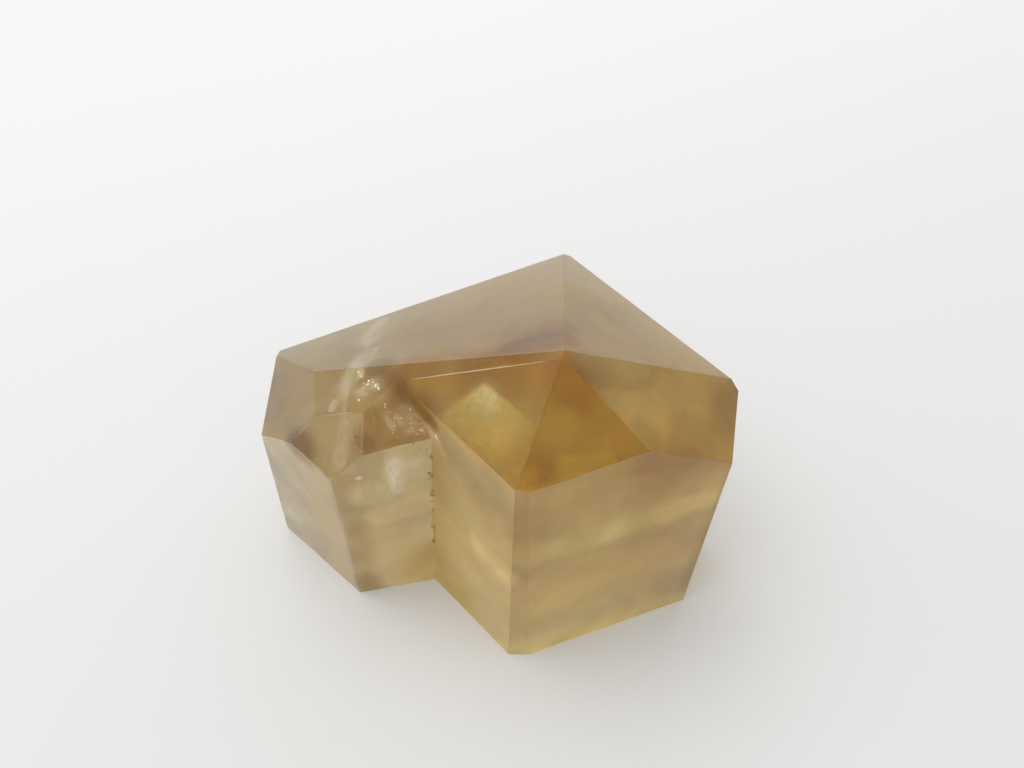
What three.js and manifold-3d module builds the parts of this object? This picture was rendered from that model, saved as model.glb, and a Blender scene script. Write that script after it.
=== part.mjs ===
// Citrine double point.
//
// Two quartz crystals that grew side by side into one body: a tall main crystal on the right and a
// lower side crystal on the left, both with their points up. The body is sawn flat below, so that it
// stands, and polished on every face. The two crystals share one back wall and the two broad faces
// that slope down from the main point to the back and to the left. In front they meet in an upright
// groove, with a row of small pits where they grew together.
//
// Millimetres and degrees, +Z up, the base on z = 0. Azimuths are measured in plan from +X towards +Y,
// so -90 faces the front. The origin is the bottom centre of the body's bounding box.

import * as THREE from 'three';
import { mergeVertices } from 'three/addons/utils/BufferGeometryUtils.js';
import loadManifold from 'manifold-3d';

// ---------------------------------------------------------------------------------------------------
// Driving dimensions
// ---------------------------------------------------------------------------------------------------

// Plan position of each crystal's axis. The main crystal's axis runs through its point.
const MAIN_AXIS = new THREE.Vector2(0, 0);
const SIDE_AXIS = new THREE.Vector2(-14, 3);

// A wall stands `reach` from its crystal's axis at the base, and leans in by `lean` as it rises.
// A negative lean overhangs.
const MAIN_WALLS = {
	frontLeft: { azimuth: -136.5, lean: 1.5, reach: 9.0 },
	frontBevel: { azimuth: -90.0, lean: 1.2, reach: 8.6 },
	frontRight: { azimuth: -69.5, lean: 1.5, reach: 7.3 },
	right: { azimuth: -11.5, lean: -1.5, reach: 15.4 },
	backRight: { azimuth: 42.0, lean: 1.0, reach: 17.9 },
	buriedLeft: { azimuth: 180.0, lean: 0.0, reach: 20.0 },
};
const SIDE_WALLS = {
	front: { azimuth: -78.0, lean: -1.5, reach: 2.9 },
	frontLeft: { azimuth: -131.0, lean: -0.5, reach: 8.0 },
	left: { azimuth: 178.5, lean: 4.5, reach: 17.0 },
	buriedRight: { azimuth: 0.0, lean: 0.0, reach: 14.0 },
};
const SHARED_WALLS = {
	back: { azimuth: 105.0, lean: 0.0, reach: 22.3 },
};

// A tip face slopes down by `slope` from the horizontal towards `azimuth`, and its plane crosses its
// crystal's axis at `height`. The main tip faces end within half a millimetre of one another, which
// gives the point its short ridge.
const MAIN_TIP_FACES = {
	frontLeft: { azimuth: -132.5, slope: 44.0, height: 37.4 },
	frontRight: { azimuth: -72.0, slope: 52.0, height: 37.6 },
	right: { azimuth: -26.0, slope: 41.5, height: 37.2 },
	backRight: { azimuth: 35.0, slope: 31.0, height: 37.3 },
};
const SIDE_TIP_FACES = {
	front: { azimuth: -85.0, slope: 50.5, height: 30.1 },
	frontLeft: { azimuth: -124.0, slope: 54.0, height: 32.9 },
	left: { azimuth: 195.0, slope: 47.5, height: 34.9 },
};
const SHARED_TIP_FACES = {
	back: { azimuth: 130.5, slope: 27.0, height: 37.2 },
	left: { azimuth: 202.0, slope: 29.5, height: 37.1 },
};

// The pits in the groove between the crystals, from the lowest to the highest. They are taller than
// wide, and their widths differ by a share that comes and goes up the row.
const PIT_COUNT = 6;
const LOWEST_PIT = 8.4;
const HIGHEST_PIT = 23.4;
const PIT_RADIUS = 0.24;
const PIT_HEIGHT = 2.4; // height of a pit against its width
const PIT_VARIATION = 0.3; // share of the radius by which the pits differ
const PIT_RHYTHM = 2.4; // radians of that variation from one pit to the next

// Corners of a solid closer together than this are one corner.
const MERGE_DISTANCE = 1e-5;

// The block that both crystals are cut from, and the block that cuts a face.
const ROUGH_SIZE = 90;
const CUTTER_SIZE = 150;

// ---------------------------------------------------------------------------------------------------
// Materials
// ---------------------------------------------------------------------------------------------------

const citrine = new THREE.MeshStandardMaterial({
	name: 'citrine',
	color: 0xb59a62,
	roughness: 0.08,
	metalness: 0,
	transparent: true,
	opacity: 0.8,
});

// ---------------------------------------------------------------------------------------------------
// Solids
// ---------------------------------------------------------------------------------------------------

const manifold = await loadManifold();
manifold.setup();

/** A closed three.js geometry as a manifold solid. */
function toSolid(geometry) {
	const bare = geometry.clone();
	bare.deleteAttribute('normal');
	bare.deleteAttribute('uv');
	const merged = mergeVertices(bare, MERGE_DISTANCE);
	return new manifold.Manifold(new manifold.Mesh({
		numProp: 3,
		vertProperties: new Float32Array(merged.attributes.position.array),
		triVerts: new Uint32Array(merged.index.array),
	}));
}

/** A manifold solid as a flat-shaded three.js geometry. */
function toGeometry(solid) {
	const mesh = solid.getMesh();
	const indexed = new THREE.BufferGeometry();
	indexed.setAttribute('position', new THREE.BufferAttribute(mesh.vertProperties, 3));
	indexed.setIndex(new THREE.BufferAttribute(mesh.triVerts, 1));
	const geometry = indexed.toNonIndexed();
	geometry.computeVertexNormals();
	return geometry;
}

/** The plane of a wall: its outward normal and the point of it that lies nearest the axis at the base. */
function wallPlane({ azimuth, lean, reach }, axis) {
	const around = THREE.MathUtils.degToRad(azimuth);
	const back = THREE.MathUtils.degToRad(lean);
	const outward = new THREE.Vector3(Math.cos(around), Math.sin(around), 0);
	const point = outward.clone().multiplyScalar(reach).add(new THREE.Vector3(axis.x, axis.y, 0));
	const normal = outward.multiplyScalar(Math.cos(back)).setZ(Math.sin(back));
	return { normal, point };
}

/** The plane of a tip face: its outward normal and the point where it crosses the axis. */
function tipPlane({ azimuth, slope, height }, axis) {
	const around = THREE.MathUtils.degToRad(azimuth);
	const down = THREE.MathUtils.degToRad(slope);
	const normal = new THREE.Vector3(Math.cos(around), Math.sin(around), 0)
		.multiplyScalar(Math.sin(down))
		.setZ(Math.cos(down));
	return { normal, point: new THREE.Vector3(axis.x, axis.y, height) };
}

/** Cuts away everything on the outer side of a plane, as a lap wheel grinds one face. */
function grindFace(solid, { normal, point }) {
	const cutter = new THREE.BoxGeometry(CUTTER_SIZE, CUTTER_SIZE, CUTTER_SIZE);
	cutter.translate(0, 0, CUTTER_SIZE / 2);
	const turn = new THREE.Quaternion().setFromUnitVectors(new THREE.Vector3(0, 0, 1), normal);
	cutter.applyQuaternion(turn);
	cutter.translate(point.x, point.y, point.z);
	return solid.subtract(toSolid(cutter));
}

/** Grinds a crystal's walls and tip faces into a solid. */
function grindFaces(solid, walls, tipFaces, axis) {
	const planes = [
		...Object.values(walls).map((wall) => wallPlane(wall, axis)),
		...Object.values(tipFaces).map((face) => tipPlane(face, axis)),
	];
	return planes.reduce(grindFace, solid);
}

/** The rough block, standing on z = 0. */
function roughBlock() {
	const block = new THREE.BoxGeometry(ROUGH_SIZE, ROUGH_SIZE, ROUGH_SIZE);
	block.translate(0, 0, ROUGH_SIZE / 2);
	return toSolid(block);
}

/** The point at a given height on the line where two planes meet. */
function meetingPoint(first, second, height) {
	const a = first.normal;
	const b = second.normal;
	const aReach = a.dot(first.point) - a.z * height;
	const bReach = b.dot(second.point) - b.z * height;
	const cross = a.x * b.y - a.y * b.x;
	return new THREE.Vector3(
		(aReach * b.y - a.y * bReach) / cross,
		(a.x * bReach - aReach * b.x) / cross,
		height,
	);
}

/** Small rounded pits, spaced along the groove where the two front walls meet. */
function growthPits() {
	const mainWall = wallPlane(MAIN_WALLS.frontLeft, MAIN_AXIS);
	const sideWall = wallPlane(SIDE_WALLS.front, SIDE_AXIS);
	const pits = [];
	for (let i = 0; i < PIT_COUNT; i += 1) {
		const height = THREE.MathUtils.lerp(LOWEST_PIT, HIGHEST_PIT, i / (PIT_COUNT - 1));
		const centre = meetingPoint(mainWall, sideWall, height);
		const radius = PIT_RADIUS * (1 + PIT_VARIATION * Math.sin(PIT_RHYTHM * i));
		const pit = new THREE.IcosahedronGeometry(radius, 1);
		pit.scale(1, 1, PIT_HEIGHT);
		pit.translate(centre.x, centre.y, centre.z);
		pits.push(toSolid(pit));
	}
	return pits;
}

/** The whole body: both crystals joined, their shared faces ground, the groove pitted. */
function doublePoint() {
	const mainCrystal = grindFaces(roughBlock(), MAIN_WALLS, MAIN_TIP_FACES, MAIN_AXIS);
	const sideCrystal = grindFaces(roughBlock(), SIDE_WALLS, SIDE_TIP_FACES, SIDE_AXIS);
	const joined = mainCrystal.add(sideCrystal);
	const ground = grindFaces(joined, SHARED_WALLS, SHARED_TIP_FACES, MAIN_AXIS);
	return growthPits().reduce((solid, pit) => solid.subtract(pit), ground);
}

/** Moves a geometry so that the bottom centre of its bounding box is the origin. */
function standOnOrigin(geometry) {
	geometry.computeBoundingBox();
	const box = geometry.boundingBox;
	const centre = box.getCenter(new THREE.Vector3());
	geometry.translate(-centre.x, -centre.y, -box.min.z);
	return geometry;
}

// ---------------------------------------------------------------------------------------------------
// The object
// ---------------------------------------------------------------------------------------------------

const crystal = new THREE.Mesh(standOnOrigin(toGeometry(doublePoint())), citrine);
crystal.name = 'citrine_double_point';

const group = new THREE.Group();
group.add(crystal);

export default group;
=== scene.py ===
import math

import bmesh
import bpy
import numpy as np
from bpy.props import (
    FloatProperty,
    FloatVectorProperty,
    PointerProperty,
)
from bpy.types import Operator, Panel, PropertyGroup
from mathutils import Matrix, Vector


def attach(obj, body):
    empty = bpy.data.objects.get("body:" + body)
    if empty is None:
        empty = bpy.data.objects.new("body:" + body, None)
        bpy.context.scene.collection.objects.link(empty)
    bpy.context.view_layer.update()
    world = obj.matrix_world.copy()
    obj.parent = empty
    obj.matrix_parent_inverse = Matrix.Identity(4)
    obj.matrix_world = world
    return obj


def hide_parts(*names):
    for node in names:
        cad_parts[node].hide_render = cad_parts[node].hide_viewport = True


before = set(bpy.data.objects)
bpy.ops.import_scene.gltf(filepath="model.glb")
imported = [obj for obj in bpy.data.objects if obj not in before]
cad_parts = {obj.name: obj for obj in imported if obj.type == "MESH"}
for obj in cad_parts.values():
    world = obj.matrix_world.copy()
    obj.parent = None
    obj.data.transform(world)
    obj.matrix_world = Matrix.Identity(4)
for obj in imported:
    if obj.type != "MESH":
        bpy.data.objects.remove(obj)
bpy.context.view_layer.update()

bl_info = {
    "name": "Citrine double point",
    "version": (1, 0, 0),
    "blender": (4, 5, 0),
    "location": "View3D > Sidebar > Citrine",
    "description": "Two polished citrine crystals grown together, with their veils and flecks",
    "category": "Add Mesh",
}

# The crystal stands on z = 0 and its points look up. Lengths are metres unless a name ends in _MM.

MM = 0.001
NODE = "citrine_double_point"
BODY = "root"

# Corners closer than this are one corner, and faces that turn by less than this are one face.
SAME_PLACE = 0.001 * MM
SAME_FACE = math.radians(0.3)

# The pits in the groove have faces smaller than this, and edges shorter than this. Edges that turn
# by less than the blunt angle aren't softened.
PIT_FACE_AREA = 0.4 * MM * MM
SHORT_EDGE = 1.2 * MM
BLUNT_ANGLE = math.radians(3.0)

# The material slot that marks the narrow faces of softened edges while the mesh is made.
EDGE_SLOT = 1
EDGE_SEGMENTS = 3

# ---- The polished faces ----

# Every face by the way it looks: the azimuth from +X towards +Y and the slope from the horizontal,
# then the colour zone of the stone right behind it and the finish of the face. A zone is partly
# the stone's colour and partly painted shade; the smoky and hazy wall zones darken the walls with
# it.
FACES = {
    "main tip front left": (-132.5, 44.0, "amber", "polished"),
    "main tip front right": (-72.0, 52.0, "deep", "polished"),
    "main tip right": (-26.0, 41.5, "honey", "polished"),
    "main tip back right": (35.0, 31.0, "clear", "satin"),
    "shared tip back": (130.5, 27.0, "clear", "satin"),
    "shared tip left": (-158.0, 29.5, "olive", "polished"),
    "side tip left": (-165.0, 47.5, "pale", "polished"),
    "side tip front left": (-124.0, 54.0, "cream", "polished"),
    "side tip front": (-85.0, 50.5, "brown", "polished"),
    "main wall front left": (-136.5, 88.5, "straw", "satin"),
    "main wall bevel": (-90.0, 88.8, "smoke_and_shade", "satin"),
    "main wall front right": (-69.5, 88.5, "smoke_and_shade", "satin"),
    "main wall right": (-11.5, 91.5, "clear", "ground"),
    "main wall back right": (42.0, 89.0, "clear", "ground"),
    "shared wall back": (105.0, 90.0, "clear", "ground"),
    "side wall front": (-78.0, 91.5, "haze", "satin"),
    "side wall front left": (-131.0, 90.5, "milk", "satin"),
    "side wall left": (178.5, 85.5, "clear", "satin"),
    "sawn base": (0.0, 180.0, "foot", "sawn"),
}

# How strongly the bands, growth bands with painted light and shade, show in each colour zone. The
# others have none.
BAND_SHARES = {"smoke_and_shade": 1.0, "straw": 0.25, "haze": 0.25, "milk": 0.15}

# The edges of these faces are worn rounder than the rest, and so is the edge between the two tip
# faces that look back.
WORN_FACES = {"main wall back right", "shared wall back", "side wall left", "main wall right"}
WORN_EDGES = ({"main tip back right", "shared tip back"},)

# The edges that show as thin pale lines, painted highlights where the edges catch the light, by
# the two faces that meet there, and the width of the line in millimetres. Each line is a tube that
# starts and ends a little short of its edge's ends and is sunk into the stone. Its corners are
# placed from a direction that no edge runs in.
RIDGES_MM = {
    frozenset({"main tip front left", "shared tip left"}): 0.12,
    frozenset({"main tip front left", "main tip front right"}): 0.055,
    frozenset({"side tip front left", "side wall front left"}): 0.09,
    frozenset({"side tip front left", "side tip left"}): 0.08,
    frozenset({"side tip front left", "shared tip left"}): 0.08,
    frozenset({"side tip front", "side wall front"}): 0.09,
    frozenset({"side tip left", "side wall front left"}): 0.08,
}
RIDGE_SINK = 0.03 * MM
RIDGE_ENDS = (0.02, 0.98)
RIDGE_STEPS = 12
RIDGE_CORNERS = 6
RIDGE_ASIDE = (0.31, 0.27, 0.91)

# The bands on the walls, partly growth bands and partly painted light and shade from reflections
# inside the stone: how far they rise to the right, the height of the topmost, the size of the
# waves in them and how far these swing, and the share of each colour that they leave, halved, from
# the foot up.
BAND_RISE = 0.01
BAND_TOP = 30.0 * MM
BAND_WAVE = 9.0 * MM
BAND_SWING = 1.8 * MM
BAND_STOPS = (
    (0.0, (0.54, 0.64, 0.72)),
    (0.05, (0.53, 0.6, 0.66)),
    (0.12, (0.43, 0.47, 0.54)),
    (0.2, (0.42, 0.46, 0.5)),
    (0.28, (0.5, 0.52, 0.5)),
    (0.36, (0.5, 0.48, 0.52)),
    (0.44, (0.47, 0.46, 0.5)),
    (0.5, (0.47, 0.47, 0.49)),
    (0.545, (0.34, 0.35, 0.34)),
    (0.575, (0.46, 0.5, 0.48)),
    (0.605, (0.6, 0.68, 0.64)),
    (0.65, (0.6, 0.67, 0.62)),
    (0.69, (0.54, 0.55, 0.48)),
    (0.76, (0.52, 0.48, 0.38)),
    (0.84, (0.44, 0.39, 0.32)),
    (0.92, (0.48, 0.42, 0.34)),
    (1.0, (0.44, 0.38, 0.3)),
)

# The suture where the two crystals meet shows as a milky ribbon that follows the roof from the
# back edge to the front: its middle line in plan and its width there, in millimetres, how deep it
# lies, how far it sways to the sides and ripples up and down, and how much it hides at most.
SUTURE_LINE_MM = (
    (-11.4, 10.4, 3.6), (-11.6, 7.0, 3.4), (-12.0, 3.0, 3.2), (-11.9, 0.5, 3.0),
    (-12.2, -0.8, 3.2), (-13.0, -2.6, 3.6), (-13.8, -4.4, 3.4),
)
SUTURE_DEPTH = 0.6 * MM
SUTURE_SWAY, SUTURE_RIPPLE = 0.2 * MM, 0.15 * MM
SUTURE_COVER = 0.42

# The upright sheet below the ribbon: its front and back edge and its middle in x, how far it
# swings about that and how far its foot is set off to the right, its foot's height, its top's
# distance from the roof, and how much it hides against the ribbon's milk.
WALL_FRONT, WALL_BACK = -7.5 * MM, 8.5 * MM
WALL_MIDDLE = -12.4 * MM
WALL_SWING, WALL_SET_OFF = 0.3 * MM, 0.8 * MM
WALL_FOOT, WALL_HEADROOM = 1.0 * MM, 2.0 * MM
WALL_COVER = 0.5

# The flat bright sheet under the front tip face, a painted reflection of light inside the stone: a
# corner, its two sides and how far it bulges, in millimetres. Its dense core thins out to the rest
# between two distances from the corner, as shares of its sides, and its rim fades in over a share
# too.
TIP_REFLECTION_MM = ((0.4, -6.55, 32.65), (5.4, -5.8, -0.3), (-5.0, -1.0, -4.2), 0.3)
TIP_REFLECTION_CORE = (0.15, 0.62)
TIP_REFLECTION_REST = 0.30
TIP_REFLECTION_RIM = 0.08

# Cloudy cracks right under a face, and among the soft ones a painted glint and a painted glow, as
# marked: the face, where the crack starts and ends, its width, how much it hides at its middle,
# how far its densest line is shifted to one side (1 is none), and its colour. Lengths are
# millimetres.
# The cracks rise a little from the face's plane and keep a margin to the neighbouring faces.
SOFT_CLOUDS_MM = (
    ("side wall front", (-8.4, -8.2, 25.2), (-8.5, -8.2, 18.0), 1.8, 0.9, 1.0, (0.97, 0.9, 0.78)),
    ("side wall front", (-9.3, -8.3, 18.9), (-5.8, -7.7, 21.6), 1.4, 0.35, 1.0,
     (0.95, 0.88, 0.76)),
    ("side wall front", (-9.0, -8.3, 22.3), (-5.7, -7.6, 23.2), 3.8, 0.34, 1.0,
     (0.84, 0.77, 0.63)),
    # A painted glint: a small bright patch where the side front wall catches the light.
    ("side wall front", (-12.1, -8.95, 21.7), (-11.3, -8.85, 21.9), 0.7, 1.0, 1.0,
     (1.0, 0.95, 0.8)),
    # Painted light: the golden glow of light gathered low in the main front left wall.
    ("main wall front left", (-1.8, -11.2, 15.4), (3.1, -16.2, 14.0), 4.8, 0.5, 1.5,
     (0.93, 0.78, 0.4)),
)
FINE_CLOUDS_MM = (
    ("shared tip left", (-13.6, -4.0, 27.2), (-14.5, -5.6, 26.3), 1.3, 0.48, 1.0,
     (0.7, 0.61, 0.45)),
    ("shared tip left", (-11.6, -1.3, 28.8), (-11.4, -2.8, 28.6), 1.0, 0.55, 1.0,
     (0.76, 0.68, 0.52)),
    ("side tip front", (-8.0, -6.3, 28.0), (-7.2, -7.3, 27.0), 0.8, 0.5, 1.0, (0.7, 0.55, 0.33)),
    ("side tip front left", (-11.9, -5.6, 28.2), (-13.0, -7.7, 25.1), 2.8, 0.32, 1.0,
     (0.6, 0.51, 0.36)),
    ("side tip front left", (-12.8, -7.2, 25.8), (-13.5, -9.4, 22.6), 2.3, 0.36, 1.0,
     (0.64, 0.55, 0.39)),
    ("side tip front left", (-11.0, -6.8, 27.5), (-11.9, -8.7, 24.8), 1.6, 0.55, 1.0,
     (0.28, 0.18, 0.09)),
    ("side tip front", (-8.9, -6.3, 28.3), (-8.1, -7.6, 26.7), 1.0, 0.55, 1.0, (0.66, 0.5, 0.28)),
    ("side tip front", (-7.0, -5.8, 28.8), (-6.0, -7.6, 26.5), 1.8, 0.42, 1.0, (0.62, 0.47, 0.27)),
    ("side tip front", (-7.4, -7.5, 26.7), (-4.9, -7.3, 26.9), 1.0, 0.45, 1.0, (0.66, 0.51, 0.31)),
    ("shared tip left", (-9.3, -3.9, 29.4), (-12.2, -4.4, 28.0), 1.8, 0.28, 1.0,
     (0.92, 0.82, 0.64)),
    ("main wall front left", (-5.0, -7.5, 27.8), (-3.2, -9.2, 25.0), 1.6, 0.22, 1.0,
     (0.92, 0.82, 0.64)),
)
CLOUD_RISE = 0.02 * MM
CLOUD_MARGIN = 0.15 * MM

# Clusters of chips, which lie in the skin of a face: the face, the centre and the spread along
# each axis in millimetres, how many, and their size against the fleck size. Chips vary about that,
# their corners stand at a random share of it, and they are less broad than long. One bright
# cluster is a painted glint, as marked.
BRIGHT_CLUSTERS_MM = (
    ("shared tip left", (-10.4, -3.6, 29.0), (0.5, 0.4, 0.2), 12, 0.9),
    ("shared tip left", (-9.7, -4.3, 29.2), (0.25, 0.2, 0.1), 6, 1.1),
    ("shared tip left", (-11.7, -1.9, 28.6), (0.2, 0.5, 0.2), 5, 0.8),
    ("shared tip left", (-11.4, -5.1, 28.1), (0.2, 0.2, 0.1), 4, 0.8),
    ("side tip front", (-8.8, -6.2, 28.4), (0.15, 0.3, 0.4), 8, 0.5),
    ("side tip front", (-8.3, -7.1, 27.1), (0.15, 0.3, 0.4), 9, 0.6),
    ("side tip front", (-7.5, -6.7, 27.5), (0.2, 0.3, 0.3), 5, 0.5),
    ("side tip front", (-6.3, -6.6, 27.6), (0.3, 0.4, 0.5), 16, 0.5),
    ("side tip front", (-5.8, -7.3, 26.6), (0.5, 0.25, 0.3), 22, 0.5),
    # A painted glint: bright chips where the side front wall catches the light.
    ("side wall front", (-11.7, -8.9, 21.8), (0.14, 0.0, 0.08), 6, 1.0),
    ("side wall front", (-5.3, -7.6, 24.5), (0.2, 0.1, 0.6), 6, 0.6),
    ("side wall front", (-5.7, -7.7, 22.0), (0.16, 0.1, 1.6), 10, 0.45),
    ("main wall front left", (-4.3, -8.2, 26.9), (0.3, 0.3, 0.4), 7, 0.6),
)
DARK_CLUSTERS_MM = (
    ("side tip front left", (-11.4, -7.6, 26.2), (0.35, 0.7, 0.9), 20, 0.45),
    ("side tip front", (-7.9, -7.9, 26.1), (0.3, 0.1, 0.15), 4, 0.7),
    ("side tip front", (-8.0, -5.4, 29.1), (0.2, 0.2, 0.2), 3, 0.6),
    ("side wall front", (-6.0, -7.6, 24.8), (0.3, 0.1, 0.5), 5, 0.5),
    ("side wall front", (-5.35, -7.6, 21.0), (0.1, 0.1, 2.6), 30, 0.5),
)
DUST_CLUSTERS_MM = (
    ("shared tip back", (0.67, -1.69, 32.98), (0.05, 0.05, 0.0), 2, 0.7),
    ("shared tip back", (2.47, -4.12, 34.52), (0.02, 0.02, 0.0), 1, 0.5),
    ("shared tip back", (-0.27, -3.08, 33.21), (0.02, 0.02, 0.0), 1, 0.5),
)
CHIP_VARIATION = 0.4
CHIP_CORNERS = (0.45, 1.0)
CHIP_BREADTH = 0.8

# Soft-edged places in the stone where it is darker, most of them its deeper colour and some
# painted shade and a painted reflection, as marked: what it is, its centre in millimetres, its
# radius, and the share of each colour that is left there. A spot is even over the inner share of
# its radius.
SPOT_PLATEAU = 0.35
DEEP_SPOTS_MM = (
    # Painted shade at the point, then a painted violet grey reflection round it.
    ("brown behind the point", (5.4, -4.2, 35.8), 4.4, (0.66, 0.54, 0.46)),
    ("violet grey behind it", (3.8, -1.4, 34.0), 5.6, (0.78, 0.73, 0.82)),
    ("amber above the shared ridge on the right", (0.8, -3.6, 33.6), 4.2, (0.9, 0.78, 0.55)),
    ("amber above the shared ridge", (-5.0, -2.2, 31.3), 3.4, (0.98, 0.84, 0.46)),
    ("amber ridge above the side point", (-9.75, -2.0, 29.6), 2.3, (0.5, 0.42, 0.2)),
    ("amber high on the front tip face", (1.0, -6.9, 34.4), 4.5, (0.9, 0.78, 0.22)),
    ("grey amber right of the point", (9.0, -7.4, 35.4), 3.0, (0.76, 0.76, 0.82)),
    ("deep amber below the point", (7.4, -9.6, 35.2), 3.8, (0.7, 0.52, 0.1)),
    ("deep amber low on the front tip face", (5.0, -14.4, 30.3), 2.2, (0.86, 0.76, 0.4)),
    ("deep amber in the right tip face", (14.0, -11.0, 30.2), 2.6, (0.7, 0.72, 0.6)),
    ("olive on the far right", (24.0, -3.5, 25.6), 5.5, (0.44, 0.38, 0.2)),
    ("olive low on the right tip face", (20.6, -8.3, 26.0), 3.8, (0.8, 0.72, 0.48)),
    ("brown high on the right wall", (16.4, -11.0, 27.2), 5.0, (0.84, 0.76, 0.54)),
    ("deep amber in the groove", (-5.4, -6.8, 29.2), 2.8, (0.44, 0.28, 0.12)),
    ("brown under the side point", (-8.0, -5.0, 29.8), 2.6, (0.62, 0.46, 0.2)),
    # Painted shade: dark reflections left of the side tip.
    ("brown left of the side tip", (-17.7, -6.6, 23.0), 3.3, (0.3, 0.2, 0.1)),
    ("brown right of the column", (-10.8, -7.8, 25.8), 1.4, (0.62, 0.5, 0.38)),
    ("grey far left of the side tip", (-22.0, 1.5, 21.8), 4.0, (0.74, 0.7, 0.72)),
    ("grey far left wall", (-23.5, -1.0, 14.0), 4.5, (0.72, 0.74, 0.78)),
    ("violet grey high beside the groove", (-0.5, -14.2, 26.5), 5.0, (0.62, 0.6, 0.66)),
    ("violet grey next to it", (-3.5, -10.8, 27.0), 3.4, (0.7, 0.68, 0.8)),
    ("amber foot of the groove", (-4.6, -8.4, 3.0), 8.0, (0.86, 0.72, 0.42)),
    ("grey foot on the right", (21.0, -10.0, 5.0), 6.0, (0.68, 0.68, 0.74)),
)

# The same, drawn out along a line: what it is, where it starts and ends, its radius and the share,
# which is above 1 where the stone shows paler. The golden rims at the foot are painted light, and
# the light band on the right is partly a growth band and partly painted light.
STREAKS_MM = (
    ("amber strip along the ridge", (-8.0, -3.4, 30.2), (6.2, -7.6, 36.9), 2.5,
     (0.96, 0.74, 0.25)),
    ("brown strip above it by the point", (2.6, -4.6, 35.0), (6.4, -4.9, 36.3), 2.4,
     (0.66, 0.48, 0.22)),
    ("brown rim on the right", (24.6, -8.6, 27.0), (22.4, -9.4, 3.0), 2.4, (0.66, 0.62, 0.5)),
    ("light across the side wall", (-10.6, -8.5, 14.8), (-6.2, -7.8, 15.8), 2.4,
     (1.42, 1.38, 1.28)),
    ("violet grey front edge", (4.2, -16.2, 24.5), (4.2, -16.2, 17.5), 3.4, (0.78, 0.73, 0.76)),
    ("brown wedge in the groove", (-7.2, -5.2, 29.8), (-4.6, -8.0, 28.4), 1.3, (0.44, 0.36, 0.22)),
    ("brown foot of the side crystal", (-12.9, -9.9, 0.0), (-13.3, -9.8, 2.6), 2.6,
     (0.4, 0.31, 0.18)),
    ("brown edge above it", (-13.2, -9.9, 5.0), (-12.9, -9.9, 21.5), 2.4, (0.68, 0.6, 0.52)),
    ("light low on the right tip face", (7.2, -13.2, 30.8), (10.0, -12.4, 30.8), 1.8,
     (1.08, 1.18, 1.7)),
    # Partly a growth band, partly painted light reflected inside the stone.
    ("light band on the right", (13.5, -12.4, 19.0), (20.5, -9.7, 18.2), 3.6, (1.36, 1.48, 1.5)),
    ("brown along the edge under the right tip face", (5.8, -15.0, 30.2), (18.5, -10.4, 26.6), 1.9,
     (0.72, 0.68, 0.46)),
    ("grey strip right of the point", (8.0, -7.2, 36.4), (13.4, -4.7, 32.9), 1.9,
     (1.1, 1.25, 2.2)),
    ("grey haze beside the groove", (-3.0, -9.8, 22.6), (-1.2, -11.8, 19.0), 2.6,
     (1.02, 1.06, 1.45)),
    ("grey low on the right wall", (6.8, -15.0, 6.0), (13.0, -12.8, 6.0), 4.0, (0.86, 0.9, 1.1)),
    # Painted light: the light that passes out through the rounded edges of the foot.
    ("golden rim at the right foot", (5.2, -15.7, 0.0), (20.5, -10.0, 0.0), 1.3,
     (1.15, 1.06, 0.62)),
    ("golden rim at the left foot", (-4.4, -9.0, 0.0), (2.6, -15.6, 0.0), 1.3, (1.06, 1.0, 0.58)),
)

# Soft-edged places where the stone is paler, some of them painted light as marked: what it is, its
# centre in millimetres, its radius, how far it is drawn out upright, how streaky it is, and its
# colour.
PALE_SPOTS_MM = (
    # Painted reflection: the bright patch under the front tip face, with its arms.
    ("light behind the tip veil", (0.0, -10.6, 31.4), 4.2, 1.0, 0.2, (0.97, 0.76, 0.2)),
    ("its left arm", (-2.4, -9.0, 30.9), 2.2, 1.0, 0.3, (1.0, 0.86, 0.3)),
    ("its right arm", (3.0, -11.0, 32.8), 2.4, 1.0, 0.3, (1.0, 0.88, 0.3)),
    ("bright patch on it", (0.1, -8.8, 32.6), 2.3, 1.0, 0.2, (1.0, 1.0, 0.66)),
    ("light low under the point", (6.3, -11.9, 32.5), 2.6, 1.0, 0.3, (0.96, 0.66, 0.1)),
    ("light seam right of the point", (16.0, -6.0, 30.4), 2.6, 1.0, 0.2, (1.0, 0.95, 0.62)),
    # Painted light: the glow of light gathered in the stone beside the groove.
    ("glow beside the groove", (1.7, -14.9, 15.4), 2.4, 1.0, 0.2, (1.0, 1.0, 0.92)),
    ("glow left of it", (-0.4, -12.7, 15.6), 2.0, 1.0, 0.3, (1.0, 1.0, 0.86)),
    ("light between them", (0.6, -13.8, 16.2), 1.6, 1.0, 0.2, (1.0, 1.0, 0.86)),
    ("cloud in the side front wall", (-8.5, -8.3, 21.8), 1.6, 1.9, 0.3, (0.98, 0.94, 0.9)),
    ("cloud beside it", (-6.4, -7.9, 21.8), 2.4, 0.9, 0.6, (0.58, 0.53, 0.46)),
    ("haze on its left", (-10.8, -8.7, 19.0), 3.0, 1.0, 0.5, (0.76, 0.7, 0.6)),
    ("pale left of the shared tip", (-14.4, -2.8, 27.1), 3.8, 1.0, 0.3, (1.0, 1.0, 0.95)),
    ("pale above the side point", (-10.0, -4.8, 29.0), 2.0, 1.0, 0.3, (1.0, 1.0, 0.78)),
    ("pale right of the side tip left", (-17.2, -2.6, 25.2), 3.4, 1.0, 0.2, (1.0, 1.0, 0.8)),
    ("pale edge of the far left wall", (-16.7, -7.6, 14.5), 3.7, 2.4, 0.2, (1.0, 1.0, 1.0)),
)

# ---- The stage ----

TABLE_HALF = 1.5
TABLE_LEVEL = -0.05 * MM

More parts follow.
